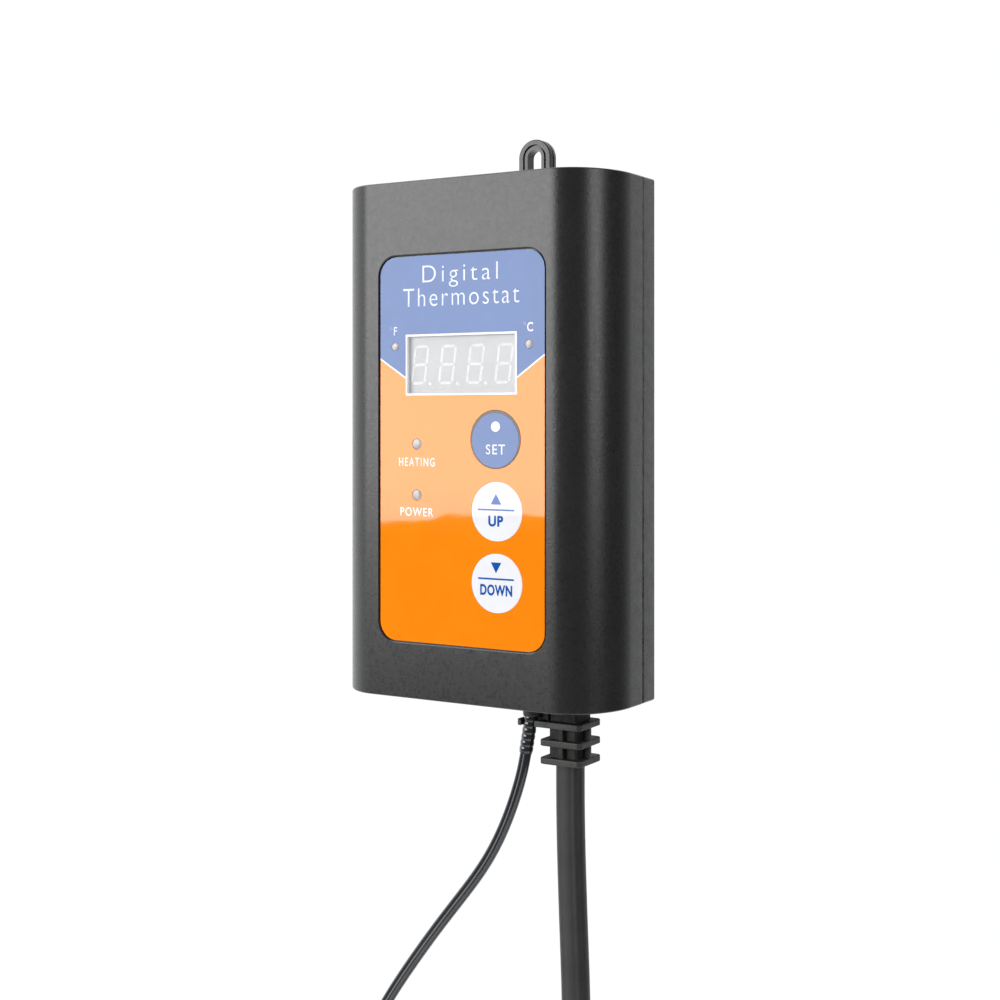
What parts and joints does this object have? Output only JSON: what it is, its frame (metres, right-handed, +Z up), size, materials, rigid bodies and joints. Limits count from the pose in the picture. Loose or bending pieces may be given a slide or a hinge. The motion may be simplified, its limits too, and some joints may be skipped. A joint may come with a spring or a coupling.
{
  "type": "heat mat thermostat controller",
  "caption": "Wall-hung thermostat controller for a seedling heat mat: digital display, press keys, a hanging tab, a mains cord with a pass-through plug, and a temperature probe on a long lead.",
  "frame": {"origin": "centre of the hanging tab's eye, on the wall plane behind the rear cover", "axes": "+Z up along the housing's height, +Y from the front face back into the wall, +X to the right of someone facing the front"},
  "size_m": [0.111, 0.0598, 0.4339],
  "materials": {
    "housing_plastic": "fine matte moulded grain",
    "relief_rubber": "matte moulded rubber",
    "label_film": "printed satin polyester film",
    "window_clear": "clear polished plastic pane",
    "display_grey": "pale grey face with white segments",
    "key_lilac": "satin coloured key cap",
    "key_white": "satin white key cap",
    "led_lens": "frosted epoxy lens",
    "board_green": "glass-fibre laminate with solder mask",
    "component_black": "moulded epoxy",
    "component_blue": "dipped epoxy",
    "component_yellow": "moulded plastic case",
    "connector_cream": "moulded plastic",
    "terminal_green": "moulded plastic",
    "steel": "plain steel",
    "brass_plate": "bright plated brass",
    "cord_black": "soft satin cable jacket",
    "probe_lead_black": "glossy flexible jacket",
    "plug_black": "matte moulded plastic",
    "tie_black": "woven hook-and-loop strap"
  },
  "bodies": {
    "housing": {"front_housing": "housing_plastic", "rear_cover": "housing_plastic", "housing_screw_1": "steel", "housing_screw_2": "steel", "housing_screw_3": "steel", "housing_screw_4": "steel", "overlay_label": "label_film", "display_window": "window_clear", "digit_display": "display_grey", "switch_set": "steel", "switch_up": "steel", "switch_down": "steel", "led_fahrenheit": "led_lens", "led_celsius": "led_lens", "led_heating": "led_lens", "led_power": "led_lens", "control_board": "board_green", "power_board": "board_green", "microcontroller": "component_black", "board_header": "component_black", "relay": "component_black", "film_capacitor": "component_yellow", "bridge_rectifier": "component_black", "mains_terminal": "terminal_green", "fuse": "connector_cream", "filter_capacitor": "component_black", "varistor": "component_blue", "probe_socket": "connector_cream", "control_board_screw_1": "steel", "control_board_screw_2": "steel", "power_board_screw_1": "steel", "power_board_screw_2": "steel", "mains_strain_relief": "relief_rubber", "probe_strain_relief": "relief_rubber", "probe_boot": "relief_rubber", "mains_cord": "cord_black", "mains_cord_end": "cord_black", "mains_cord_coil": "cord_black", "mains_cord_tie": "tie_black", "probe_cord": "probe_lead_black", "probe_cord_end": "probe_lead_black", "probe_cord_coil": "probe_lead_black", "probe_cord_tie": "tie_black", "plug_strain_relief": "plug_black", "plug_body": "plug_black", "plug_blade_left": "brass_plate", "plug_blade_right": "brass_plate", "plug_ground_pin": "brass_plate", "probe_sleeve": "probe_lead_black", "probe_tip": "steel"},
    "set_key": {"key_set": "key_lilac", "plunger_set": "component_black"},
    "up_key": {"key_up": "key_white", "plunger_up": "component_black"},
    "down_key": {"key_down": "key_white", "plunger_down": "component_black"}
  },
  "joints": [
    {"name": "set_key_press", "type": "slide", "parent": "housing", "child": "set_key", "axis": [0, 1, 0], "range_m": [0, 0.0003], "stiffness_N_per_m": 2000},
    {"name": "up_key_press", "type": "slide", "parent": "housing", "child": "up_key", "axis": [0, 1, 0], "range_m": [0, 0.0003], "stiffness_N_per_m": 2000},
    {"name": "down_key_press", "type": "slide", "parent": "housing", "child": "down_key", "axis": [0, 1, 0], "range_m": [0, 0.0003], "stiffness_N_per_m": 2000}
  ]
}
